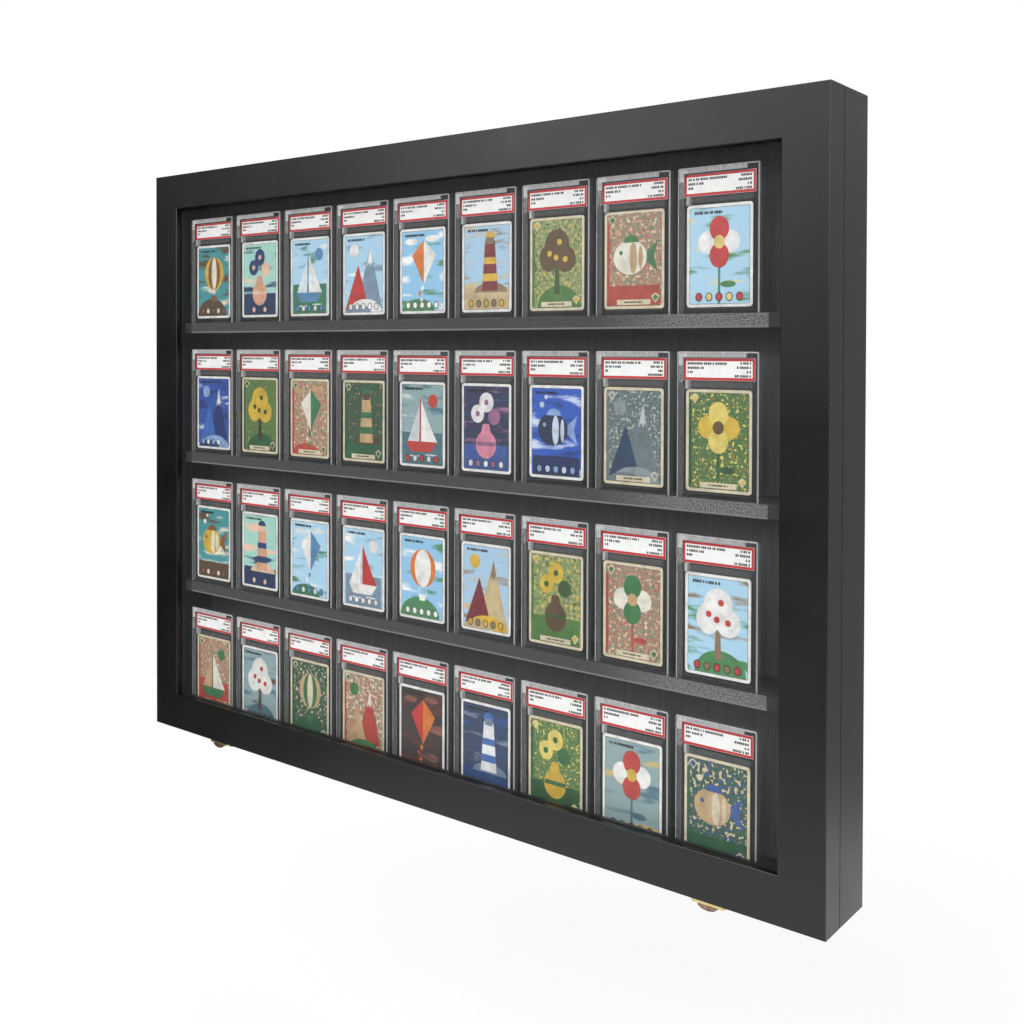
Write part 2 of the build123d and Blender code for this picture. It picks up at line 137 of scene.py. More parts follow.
# The flocking in millimetres: its ends along the shelf and how far it reaches round the front
# edge, where the painted light toward the right end sets in, and where the painted highlight
# along the lower edge starts above the shelf's foot
FLOCKED_FROM, FLOCKED_TO = -391.0, 385.5
FLOCKED_DEPTH = 0.5
PAINTED_LIGHT_FROM, PAINTED_LIGHT_FULL = 215.0, 300.0
EDGE_HIGHLIGHT_FROM, EDGE_HIGHLIGHT_FULL = 2.1, 1.5


def flocked_shelf(shelf):
    """Shelf board painted matt black, its front edge flocked with short grey nylon: a fine
    speckle of fibre tips, with painted light that makes it paler toward the right end and a
    painted highlight along the lower edge. The fibres are drawn as tufts of 1.4 mm, because
    single ones are too fine to show."""
    material, tree, place = new_material("flocked_grey_nylon_" + shelf)
    along = add_node(tree, "SeparateXYZ", {"Vector": place})
    fibres = add_node(tree, "TexNoise", {"Vector": place, "Scale": grains(1.4), "Detail": 4.0})
    flock_speckle = add_node(tree, "ValToRGB", {"Fac": fibres}, ((0.36, "#1e1e1e"), (0.64, "#4e4e4e")))
    # Painted light: a lighter copy of the speckle, blended in toward the shelf's right end
    lit_speckle = add_node(tree, "ValToRGB", {"Fac": fibres}, ((0.36, "#343434"), (0.64, "#828282")))
    painted_light_range = {"From Min": PAINTED_LIGHT_FROM * MM, "From Max": PAINTED_LIGHT_FULL * MM}
    painted_light = add_node(tree, "MapRange", {"Value": along.outputs["X"], **painted_light_range})
    speckle_with_painted_light = add_node(tree, "Mix", {"Factor": painted_light, "A": flock_speckle, "B": lit_speckle}, data_type="RGBA")
    _, front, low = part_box(shelf)[0]
    # Painted highlight: the lowest 2 mm of the front edge turn pale grey
    edge_highlight_range = {"From Min": low + EDGE_HIGHLIGHT_FROM * MM, "From Max": low + EDGE_HIGHLIGHT_FULL * MM}
    edge_highlight = add_node(tree, "MapRange", {"Value": along.outputs["Z"], **edge_highlight_range})
    with_edge_highlight = add_node(
        tree, "Mix", {"Factor": edge_highlight, "A": speckle_with_painted_light, "B": linear("#747474")}, data_type="RGBA"
    )
    middle, reach = (FLOCKED_FROM + FLOCKED_TO) / 2 * MM, (FLOCKED_TO - FLOCKED_FROM) / 2 * MM
    between = add_node(
        tree, "Math", {0: along.outputs["X"], 1: middle, 2: reach}, operation="COMPARE"
    )
    reached = {0: along.outputs["Y"], 1: front + FLOCKED_DEPTH * MM}
    in_front = add_node(tree, "Math", reached, operation="LESS_THAN")
    flocked = add_node(tree, "Math", {0: between, 1: in_front}, operation="MULTIPLY")
    colour = add_node(
        tree, "Mix", {"Factor": flocked, "A": linear("#242424"), "B": with_edge_highlight}, data_type="RGBA"
    )
    pile = add_node(tree, "Math", {0: fibres, 1: flocked}, operation="MULTIPLY")
    relief = add_node(tree, "Bump", {"Height": pile, "Distance": 0.12 * MM, "Strength": 0.4})
    looks = {"Base Color": colour, "Roughness": 0.85, "Normal": relief}
    shader = add_node(tree, "BsdfPrincipled", looks)
    add_node(tree, "OutputMaterial", {"Surface": shader})
    return material


def painted_hardboard():
    """Hardboard, roller painted matt black: faint upright streaks from the roller."""
    material, tree, place = new_material("hardboard_rolled_matt_black")
    upright = add_node(tree, "Mapping", {"Vector": place, "Scale": (1.0, 1.0, 0.03)})
    streaks = add_node(tree, "TexNoise", {"Vector": upright, "Scale": grains(2.2), "Detail": 4.0})
    colour = add_node(tree, "ValToRGB", {"Fac": streaks}, ((0.35, "#484848"), (0.65, "#545454")))
    relief = add_node(tree, "Bump", {"Height": streaks, "Distance": 0.05 * MM, "Strength": 0.3})
    looks = {"Base Color": colour, "Roughness": 0.6, "Normal": relief}
    shader = add_node(tree, "BsdfPrincipled", looks)
    add_node(tree, "OutputMaterial", {"Surface": shader})
    return material


def planed_beech():
    """Beech, planed: pale wood with short dark flecks along the grain."""
    material, tree, place = new_material("beech_planed")
    along = add_node(tree, "Mapping", {"Vector": place, "Scale": (0.2, 1.0, 1.0)})
    flecks = add_node(tree, "TexNoise", {"Vector": along, "Scale": grains(1.5), "Detail": 4.0})
    colour = add_node(tree, "ValToRGB", {"Fac": flecks}, ((0.3, "#a97f52"), (0.6, "#cda878")))
    shader = add_node(tree, "BsdfPrincipled", {"Base Color": colour, "Roughness": 0.6})
    add_node(tree, "OutputMaterial", {"Surface": shader})
    return material


def clear_sheet():
    """Acrylic sheet, cast and polished: nearly invisible, with a low cool sheen."""
    material, tree, place = new_material("acrylic_cast_clear")
    wave = add_node(tree, "TexNoise", {"Vector": place, "Scale": grains(220.0), "Detail": 1.0})
    relief = add_node(tree, "Bump", {"Height": wave, "Distance": 0.2 * MM, "Strength": 0.2})
    tint = {"Base Color": linear("#dfe4e6"), "Alpha": 0.012}
    shader = add_node(
        tree, "BsdfPrincipled", {**tint, "Roughness": 0.12, "IOR": 1.49, "Normal": relief}
    )
    add_node(tree, "OutputMaterial", {"Surface": shader})
    return material


def clear_polystyrene():
    """Polystyrene, injection moulded and polished: clear faces with a little haze."""
    material, tree, place = new_material("polystyrene_moulded_clear")
    flow = add_node(tree, "TexNoise", {"Vector": place, "Scale": grains(30.0)})
    relief = add_node(tree, "Bump", {"Height": flow, "Distance": 0.1 * MM, "Strength": 0.2})
    tint = {"Base Color": linear("#e6eaec"), "Alpha": 0.012}
    shader = add_node(
        tree, "BsdfPrincipled", {**tint, "Roughness": 0.18, "IOR": 1.59, "Normal": relief}
    )
    add_node(tree, "OutputMaterial", {"Surface": shader})
    return material


def frosted_highlight_polystyrene():
    """Polystyrene, welded and frosted edge: milky white, a painted highlight on the holders' right
    rims.
    """
    material, tree, place = new_material("polystyrene_frosted_painted_highlight")
    grit = add_node(tree, "TexNoise", {"Vector": place, "Scale": grains(0.8)})
    colour = add_node(tree, "ValToRGB", {"Fac": grit}, ((0.35, "#c9c9c9"), (0.65, "#ededed")))
    relief = add_node(tree, "Bump", {"Height": grit, "Distance": 0.05 * MM, "Strength": 0.5})
    looks = {"Base Color": colour, "Alpha": 0.5, "Roughness": 0.4, "IOR": 1.59, "Normal": relief}
    shader = add_node(tree, "BsdfPrincipled", looks)
    add_node(tree, "OutputMaterial", {"Surface": shader})
    return material


def hazed_polystyrene(name, alpha):
    """Polystyrene, moulded with fine ribs: a grey haze that partly hides what lies behind."""
    material, tree, place = new_material(name)
    upright = add_node(tree, "Mapping", {"Vector": place, "Scale": (1.0, 1.0, 0.15)})
    grit = add_node(tree, "TexNoise", {"Vector": upright, "Scale": grains(1.0)})
    colour = add_node(tree, "ValToRGB", {"Fac": grit}, ((0.35, "#a8a8a8"), (0.65, "#dadada")))
    looks = {"Base Color": colour, "Alpha": alpha, "Roughness": 0.35, "IOR": 1.59}
    shader = add_node(tree, "BsdfPrincipled", looks)
    add_node(tree, "OutputMaterial", {"Surface": shader})
    return material


def printed(name, hex_colour, roughness=0.5, shade=0.9):
    """Offset ink on coated stock: the fine grain of a printed screen, and broad soft shading."""
    material, tree, place = new_material(name)
    screen = add_node(tree, "TexNoise", {"Vector": place, "Scale": grains(0.7)})
    shading = add_node(tree, "TexNoise", {"Vector": place, "Scale": grains(9.0)})
    dots = add_node(tree, "MapRange", {"Value": screen, **MIDDLE, "To Min": 0.6, "To Max": 1.0})
    both = add_node(tree, "Math", {0: dots, 1: shading}, operation="MULTIPLY")
    cover = add_node(tree, "MapRange", {"Value": both, "From Min": 0.2, "From Max": 0.55})
    full = linear(hex_colour)
    thin = (*(channel * shade for channel in full[:3]), 1.0)
    colour = add_node(tree, "Mix", {"Factor": cover, "A": thin, "B": full}, data_type="RGBA")
    shader = add_node(tree, "BsdfPrincipled", {"Base Color": colour, "Roughness": roughness})
    add_node(tree, "OutputMaterial", {"Surface": shader})
    return material


def polished_brass():
    """Brass, stamped and polished: warm gold with fine rub marks."""
    material, tree, place = new_material("brass_stamped_polished")
    along = add_node(tree, "Mapping", {"Vector": place, "Scale": (0.15, 1.0, 1.0)})
    rub = add_node(tree, "TexNoise", {"Vector": along, "Scale": grains(1.2), "Detail": 3.0})
    colour = add_node(tree, "ValToRGB", {"Fac": rub}, ((0.3, "#d8bc74"), (0.7, "#f2e2aa")))
    worn = add_node(tree, "MapRange", {"Value": rub, **MIDDLE, "To Min": 0.2, "To Max": 0.34})
    relief = add_node(tree, "Bump", {"Height": rub, "Distance": 0.01 * MM, "Strength": 0.3})
    looks = {"Base Color": colour, "Metallic": 1.0, "Roughness": worn, "Normal": relief}
    shader = add_node(tree, "BsdfPrincipled", looks)
    add_node(tree, "OutputMaterial", {"Surface": shader})
    return material


def brass_with_painted_shade():
    """Brass in painted shade and reflection: a dull copper brown, as the levers look in the
    shadow under the case, with lighter spots at random.
    """
    material, tree, place = new_material("brass_painted_shade")
    wear = add_node(tree, "TexNoise", {"Vector": place, "Scale": grains(2.5), "Detail": 3.0})
    colour = add_node(tree, "ValToRGB", {"Fac": wear}, ((0.3, "#7a5f58"), (0.7, "#b3978c")))
    dull = add_node(tree, "MapRange", {"Value": wear, **MIDDLE, "To Min": 0.38, "To Max": 0.5})
    looks = {"Base Color": colour, "Metallic": 1.0, "Roughness": dull}
    shader = add_node(tree, "BsdfPrincipled", looks)
    add_node(tree, "OutputMaterial", {"Surface": shader})
    return material


def zinc_plate():
    """Steel, stamped and zinc plated: cool grey with a faint spangle."""
    material, tree, place = new_material("steel_stamped_zinc_plated")
    spangle = add_node(tree, "TexNoise", {"Vector": place, "Scale": grains(2.0)})
    colour = add_node(tree, "ValToRGB", {"Fac": spangle}, ((0.3, "#9a9da0"), (0.7, "#c3c6c8")))
    plated = add_node(tree, "MapRange", {"Value": spangle, **MIDDLE, "To Min": 0.3, "To Max": 0.45})
    looks = {"Base Color": colour, "Metallic": 1.0, "Roughness": plated}
    shader = add_node(tree, "BsdfPrincipled", looks)
    add_node(tree, "OutputMaterial", {"Surface": shader})
    return material


BOARD = lacquered_board()
FLOCKED = {shelf: flocked_shelf(shelf) for shelf in ("lower_shelf", "middle_shelf", "upper_shelf")}
HARDBOARD = painted_hardboard()
BEECH = planed_beech()
GLAZING = clear_sheet()
CLEAR = clear_polystyrene()
FROSTED_HIGHLIGHT = frosted_highlight_polystyrene()
HAZED = hazed_polystyrene("polystyrene_ribbed_hazed", 0.12)
PALE = hazed_polystyrene("polystyrene_ribbed_pale", 0.75)
BRIGHT = hazed_polystyrene("polystyrene_ribbed_bright", 0.96)
SOFT = hazed_polystyrene("polystyrene_ribbed_soft", 0.36)
BRASS = polished_brass()
SHADED_BRASS = brass_with_painted_shade()
ZINC = zinc_plate()
WHITE_PAPER = printed("paper_coated_white", "#f7f7f5")
RED_INK = printed("ink_red_on_paper", "#c41f26")
BLACK_INK = printed("ink_black_on_paper", "#1c1c1c")

inks = {}


def ink(hex_colour):
    """The print material of a colour, made once."""
    if hex_colour not in inks:
        inks[hex_colour] = printed("ink_on_card_" + hex_colour[1:], hex_colour, 0.42, 0.68)
    return inks[hex_colour]


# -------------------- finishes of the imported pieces
FINISHES = {
    BOARD: (
        "case_left_side", "case_right_side", "case_top_board", "case_bottom_board",
        "door_top_rail", "door_right_stile", "door_bottom_rail", "door_left_stile",
    ),
    **{finish: (shelf,) for shelf, finish in FLOCKED.items()},
    HARDBOARD: ("back_panel",),
    BEECH: ("mitre_splines",),
    GLAZING: ("door_glazing",),
    ZINC: ("keyhole_hanger_left", "keyhole_hanger_right"),
    BRASS: tuple(
        f"{hardware}_{side}_{part}"
        for hardware, parts in (
            ("hinge", ("case_leaf", "door_leaf", "pin")),
            ("latch", ("catch", "base", "pivot_pin", "bail")),
        )
        for part in parts
        for side in ("left", "right")
    ),
    # The levers get the brass with painted shade
    SHADED_BRASS: ("latch_left_lever", "latch_right_lever"),
    WHITE_PAPER: tuple(f"grade_labels_row_{row}" for row in ROWS),
}
# Width in millimetres by which a finish's sharp edges are eased
EASED = {
    BOARD: 0.35, BRASS: 0.12, SHADED_BRASS: 0.12, ZINC: 0.15, **dict.fromkeys(FLOCKED.values(), 0.8)
}
WELD_DISTANCE = 0.001 * MM
EASED_ANGLE = radians(35)

for finish, names in FINISHES.items():
    for name in names:
        for slot in nodes[name].material_slots:
            slot.material = finish
        if finish in EASED:
            weld = nodes[name].modifiers.new("weld", "WELD")
            weld.merge_threshold = WELD_DISTANCE
            ease = nodes[name].modifiers.new("eased_edges", "BEVEL")
            ease.width = EASED[finish] * MM
            ease.segments = 2
            ease.limit_method = "ANGLE"
            ease.angle_limit = EASED_ANGLE
            ease.harden_normals = True


# -------------------- mesh tools
SHARPEST_CORNER = 0.02  # radius in millimetres
# Flats in a rounded corner
LARGE_CORNER, SMALL_CORNER, TINY_CORNER = 4, 3, 2


def new_object(name, mesh, materials):
    """A finished mesh as an object in the scene."""
    data = bpy.data.meshes.new(name)
    mesh.to_mesh(data)
    mesh.free()
    for material in materials:
        data.materials.append(material)
    made = bpy.data.objects.new(name, data)
    scene.collection.objects.link(made)
    return made


def piece(name, mesh, body, materials):
    """A finished mesh as a piece that rides on a body."""
    made = new_object(name, mesh, materials)
    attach(made, body)
    return made


def rounded_outline(width, height, radius, steps, inset=0.0):
    """Points of a rounded rectangle round the origin, counterclockwise, in millimetres."""
    corner = max(radius - inset, SHARPEST_CORNER)
    half_x = width / 2 - inset - corner
    half_z = height / 2 - inset - corner
    points = []
    for quarter, (sign_x, sign_z) in enumerate(((1, 1), (-1, 1), (-1, -1), (1, -1))):
        for step in range(steps + 1):
            turn = (quarter + step / steps) * pi / 2
            across, up = corner * cos(turn), corner * sin(turn)
            points.append((sign_x * half_x + across, sign_z * half_z + up))
    return points


def add_ring(mesh, points, x, y, z):
    """Vertices of an outline that stands facing the room, placed in millimetres."""
    return [mesh.verts.new(((x + px) * MM, y * MM, (z + pz) * MM)) for px, pz in points]


def bridge(mesh, outer, inner, material=0):
    """Quads between two rings of as many vertices."""
    count = len(outer)
    for i in range(count):
        j = (i + 1) % count
        face = mesh.faces.new((outer[i], outer[j], inner[j], inner[i]))
        face.material_index = material


def fill_with_holes(mesh, outer, holes, material):
    """A flat face inside the outer ring and round the hole rings."""
    edges = []
    for ring in (outer, *holes):
        for i, vertex in enumerate(ring):
            following = ring[(i + 1) % len(ring)]
            edges.append(mesh.edges.get((vertex, following)) or mesh.edges.new((vertex, following)))
    made = bmesh.ops.triangle_fill(mesh, edges=edges, use_beauty=True, use_dissolve=False)
    for item in made["geom"]:
        if isinstance(item, bmesh.types.BMFace):
            item.material_index = material


def corners(x0, x1, z0, z1):
    """The corners of a rectangle, counterclockwise."""
    return (x0, z0), (x1, z0), (x1, z1), (x0, z1)


def add_block(mesh, low, high, material, taper):
    """A block between two corners in millimetres, its front face drawn in by taper."""
    (x0, y0, z0), (x1, y1, z1) = low, high
    front = corners(x0 + taper, x1 - taper, z0 + taper, z1 - taper)
    near = add_ring(mesh, front, 0, y0, 0)
    far = add_ring(mesh, corners(x0, x1, z0, z1), 0, y1, 0)
    bridge(mesh, far, near, material)
    mesh.faces.new(near).material_index = material
    mesh.faces.new(far[::-1]).material_index = material


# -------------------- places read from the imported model
def box_mm(name):
    """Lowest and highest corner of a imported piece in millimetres."""
    low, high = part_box(name)
    return Vector(low) / MM, Vector(high) / MM


HOLDER_WIDTH = 78.8
row_low, row_high = box_mm("holder_fronts_row_1")
pitch = (row_high.x - row_low.x - HOLDER_WIDTH) / (COLUMNS - 1)
column_x = [row_low.x + HOLDER_WIDTH / 2 + column * pitch for column in range(COLUMNS)]
holder_height = row_high.z - row_low.z

# -------------------- graded card holders
BODY = "case"
# All in millimetres
HOLDER_FRONT, HOLDER_JOINT, HOLDER_BACK = -60.5, -57.4, -54.3
HOLDER_CORNER = 2.0
EDGE_EASE = 0.7
WELD_GROOVE = 0.3
SHELL_EDGE = 0.6
WINDOW_MARGIN, WINDOW_DEPTH = 1.6, 0.6
# Width, height, and height of the middle above the holder's foot
LABEL = (69.0, 19.2, 118.0)
CARD = (63.5, 88.9, 56.05)
CARD_CORNER, CARD_THICKNESS = 3.0, 0.4
LABEL_FRONT, CARD_FRONT = -57.35, -57.375
PRINT_STEP = 0.03
RIB_PITCH, RIB_CREST, RIB_VALLEY = 1.1, 0.25, 0.6
WALL_INSET, WALL_CORNER = 2.2, 3.0
RIM = 1.3
# Widths and heights of the ribbed bands, and the share of the width that the top band takes
CORNER_BAND, SIDE_BAND, BRIGHT_BAND = 10.0, 6.0, 8.0
TOP_BAND_SHARE = 0.85
BAND_GAP, FOOT_GAP = 0.8, 1.0
# The band between label and card, from each side and from the windows
BRIDGE_LEFT, BRIDGE_RIGHT, BRIDGE_GAP = 11.0, 6.0, 0.3
# The tab between label and card: its sides, and its distances from front, back and windows
TAB_FROM, TAB_TO = 7.9, 10.9
TAB_FRONT_GAP, TAB_BACK_GAP, TAB_END_GAP, TAB_TAPER = 0.9, 1.0, 0.1, 0.2
IN_CLEAR, IN_FROSTED_HIGHLIGHT, IN_HAZED, IN_PALE, IN_SOFT, IN_BRIGHT = range(6)


def add_shell(mesh, x, foot):
    """The welded outer shell: a pale frosted rim with a painted highlight down its right side,
    clear sides, a weld groove and two sunk windows."""
    middle = foot + holder_height / 2
    # Each ring's inset and depth, and the material from it to the next; the last closes the back
    profile = (
        (RIM, HOLDER_FRONT, IN_FROSTED_HIGHLIGHT),
        (EDGE_EASE, HOLDER_FRONT, IN_FROSTED_HIGHLIGHT),
        (0.0, HOLDER_FRONT + SHELL_EDGE, IN_CLEAR),
        (0.0, HOLDER_JOINT - WELD_GROOVE, IN_HAZED),
        (WELD_GROOVE, HOLDER_JOINT, IN_HAZED),
        (0.0, HOLDER_JOINT + WELD_GROOVE, IN_CLEAR),
        (0.0, HOLDER_BACK - SHELL_EDGE, IN_HAZED),
        (EDGE_EASE, HOLDER_BACK, IN_CLEAR),
    )
    size = (HOLDER_WIDTH, holder_height, HOLDER_CORNER, LARGE_CORNER)
    rings = [
        add_ring(mesh, rounded_outline(*size, inset), x, y, middle) for inset, y, _ in profile
    ]
    for ring, following, (_, _, band) in zip(rings, rings[1:], profile):
        bridge(mesh, ring, following, band)
    # The rim is pale but for its right side, which keeps the whiter material as a painted highlight
    right_side = (x + HOLDER_WIDTH / 2 - 2 * RIM) * MM
    for face in {face for vertex in rings[0] + rings[1] for face in vertex.link_faces}:
        if face.calc_center_median().x < right_side:
            face.material_index = IN_PALE
    holes = []
    for width, height, rise in (LABEL, CARD):
        opening = (
            width + 2 * WINDOW_MARGIN, height + 2 * WINDOW_MARGIN, HOLDER_CORNER, SMALL_CORNER
        )
        rim = add_ring(mesh, rounded_outline(*opening), x, HOLDER_FRONT, foot + rise)
        drawn_in = rounded_outline(*opening, WINDOW_DEPTH)
        sunk = add_ring(mesh, drawn_in, x, HOLDER_FRONT + WINDOW_DEPTH, foot + rise)
        bridge(mesh, rim, sunk, IN_HAZED)
        mesh.faces.new(sunk).material_index = IN_CLEAR
        holes.append(rim)
    fill_with_holes(mesh, rings[0], holes, IN_CLEAR)
    mesh.faces.new(rings[-1][::-1]).material_index = profile[-1][2]


def add_inner_wall(mesh, x, foot):
    """The wall inside the shell that keeps the card from the weld."""
    middle = foot + holder_height / 2
    size = (HOLDER_WIDTH, holder_height, WALL_CORNER, SMALL_CORNER)
    outline = rounded_outline(*size, WALL_INSET)
    near = add_ring(mesh, outline, x, HOLDER_FRONT + SHELL_EDGE, middle)
    far = add_ring(mesh, outline, x, HOLDER_BACK - SHELL_EDGE, middle)
    bridge(mesh, near, far, IN_HAZED)


def add_ribs(mesh, x0, x1, z0, z1, material):
    """A strip of fine upright ribs on the inside of the front shell."""
    count = int((x1 - x0) / RIB_PITCH) * 2
    previous = None
    for i in range(count + 1):
        x = x0 + (x1 - x0) * i / count
        y = HOLDER_FRONT + (RIB_CREST if i % 2 else RIB_VALLEY)
        pair = [mesh.verts.new((x * MM, y * MM, z * MM)) for z in (z0, z1)]
        if previous:
            face = mesh.faces.new((previous[0], pair[0], pair[1], previous[1]))
            face.material_index = material
        previous = pair


def add_holder(mesh, x, foot):
    """One clear holder with its ribbed bands and its pale tab."""
    add_shell(mesh, x, foot)
    add_inner_wall(mesh, x, foot)
    left = x - HOLDER_WIDTH / 2
    label_top = foot + LABEL[2] + LABEL[1] / 2 + WINDOW_MARGIN
    label_foot = foot + LABEL[2] - LABEL[1] / 2 - WINDOW_MARGIN
    card_top = foot + CARD[2] + CARD[1] / 2 + WINDOW_MARGIN
    top = foot + holder_height - RIM
    over_label, beside_label = label_top - BAND_GAP, label_top - BRIGHT_BAND
    inside, corner, side = left + RIM, left + CORNER_BAND, left + SIDE_BAND
    bands = (
        (inside, corner, over_label, top, IN_BRIGHT),
        (corner, left + HOLDER_WIDTH * TOP_BAND_SHARE, over_label, top, IN_PALE),
        (inside, side, foot + FOOT_GAP, label_foot, IN_HAZED),
        (inside, side, label_foot, beside_label, IN_SOFT),
        (inside, side, beside_label, over_label, IN_BRIGHT),
        (
            left + BRIDGE_LEFT, left + HOLDER_WIDTH - BRIDGE_RIGHT,
            card_top + BRIDGE_GAP, label_foot - BRIDGE_GAP, IN_HAZED,
        ),
    )
    for band in bands:
        add_ribs(mesh, *band)
    tab_foot = card_top - WINDOW_MARGIN + TAB_END_GAP
    tab_top = label_foot + WINDOW_MARGIN - TAB_END_GAP
    low = (left + TAB_FROM, HOLDER_FRONT + TAB_FRONT_GAP, tab_foot)
    high = (left + TAB_TO, HOLDER_BACK - TAB_BACK_GAP, tab_top)
    add_block(mesh, low, high, IN_PALE, TAB_TAPER)


# -------------------- label printing
BORDER, BORDER_CORNER, BORDER_TRIM = 2.3, 0.6, 0.3
LINE_START = 4.0
# Each line's height above the label's middle and its length, in millimetres
LEFT_LINES = ((5.0, 37.0), (1.2, 16.0), (-2.5, 4.0))
RIGHT_LINES = ((5.4, 9.0), (1.7, 12.5), (-2.0, 4.0), (-5.6, 15.0))
LINE_HEIGHT = 2.1
# Widths of the dashes and of the gaps after them, as parts of their height
DASH_WIDTHS, DASH_GAPS = (0.5, 0.62, 0.76), (0.17, 0.17, 0.17, 0.6)
IN_RED, IN_LABEL_BLACK = 0, 1


def add_rectangle(mesh, x0, x1, z0, z1, y, material):
    """A flat printed rectangle."""
    face = mesh.faces.new(
        [mesh.verts.new((cx * MM, y * MM, cz * MM)) for cx, cz in corners(x0, x1, z0, z1)]
    )
    face.material_index = material


def add_dashes(mesh, start, way, z, length, height, y, material, dice):
    """A line of small blank dashes that runs from start to one side, where print has its words."""
    run = 0.0
    while run < length:
        step = dice.choice(DASH_WIDTHS) * height
        low, high = sorted((start + way * run, start + way * (run + step)))
        add_rectangle(mesh, low, high, z - height / 2, z + height / 2, y, material)
        run += step + dice.choice(DASH_GAPS) * height


def add_label_print(mesh, x, foot, dice):
    """A red border and lines of dashes."""
    width, height, rise = LABEL
    z = foot + rise
    y = LABEL_FRONT - PRINT_STEP
    size = (width - BORDER_TRIM, height - BORDER_TRIM, BORDER_CORNER, TINY_CORNER)
    outer, inner = (
        add_ring(mesh, rounded_outline(*size, inset), x, y, z) for inset in (0.0, BORDER)
    )
    bridge(mesh, outer, inner, IN_RED)
    margin = -width / 2 + LINE_START
    for lines, start, way in ((LEFT_LINES, margin, 1), (RIGHT_LINES, -margin, -1)):
        for line_rise, length in lines:
            place = (x + start, way, z + line_rise)
            add_dashes(mesh, *place, length, LINE_HEIGHT, y, IN_LABEL_BLACK, dice)


# -------------------- picture cards
# A shape is its kind, the place and half sizes as parts of the picture's half sizes, and its tone.
# The kinds are outlines of a unit size round the origin.
DISC_STEPS, DOME_STEPS = 28, 20
OUTLINES = {
    "disc": [(cos(tau * i / DISC_STEPS), sin(tau * i / DISC_STEPS)) for i in range(DISC_STEPS)],
    "block": corners(-1, 1, -1, 1),
    "peak": [(-1, -1), (1, -1), (0.1, 1)],
    "snow": [(-0.42, -1), (-0.1, -0.55), (0.1, -0.95), (0.3, -0.5), (0.5, -1), (0.1, 1)],
    "dome": [(cos(pi * i / DOME_STEPS), sin(pi * i / DOME_STEPS)) for i in range(DOME_STEPS + 1)],
    "sail": [(-1, -1), (1, -1), (0.2, -0.3), (-1, 1)],
    "jib": [(-1, -1), (1, -1), (1, 1)],
    "hull": [(-0.7, -1), (0.6, -1), (1, 1), (-1, 1)],
    "kite": [(0, -1), (0.7, 0.3), (0, 1), (-0.7, 0.3)],
    "half_kite": [(0, -1), (0.7, 0.3), (0, 1)],
    "tower": [(-1, -1), (1, -1), (0.6, 1), (-0.6, 1)],
    "tail": [(-1, 0), (1, -1), (0.5, 0), (1, 1)],
}
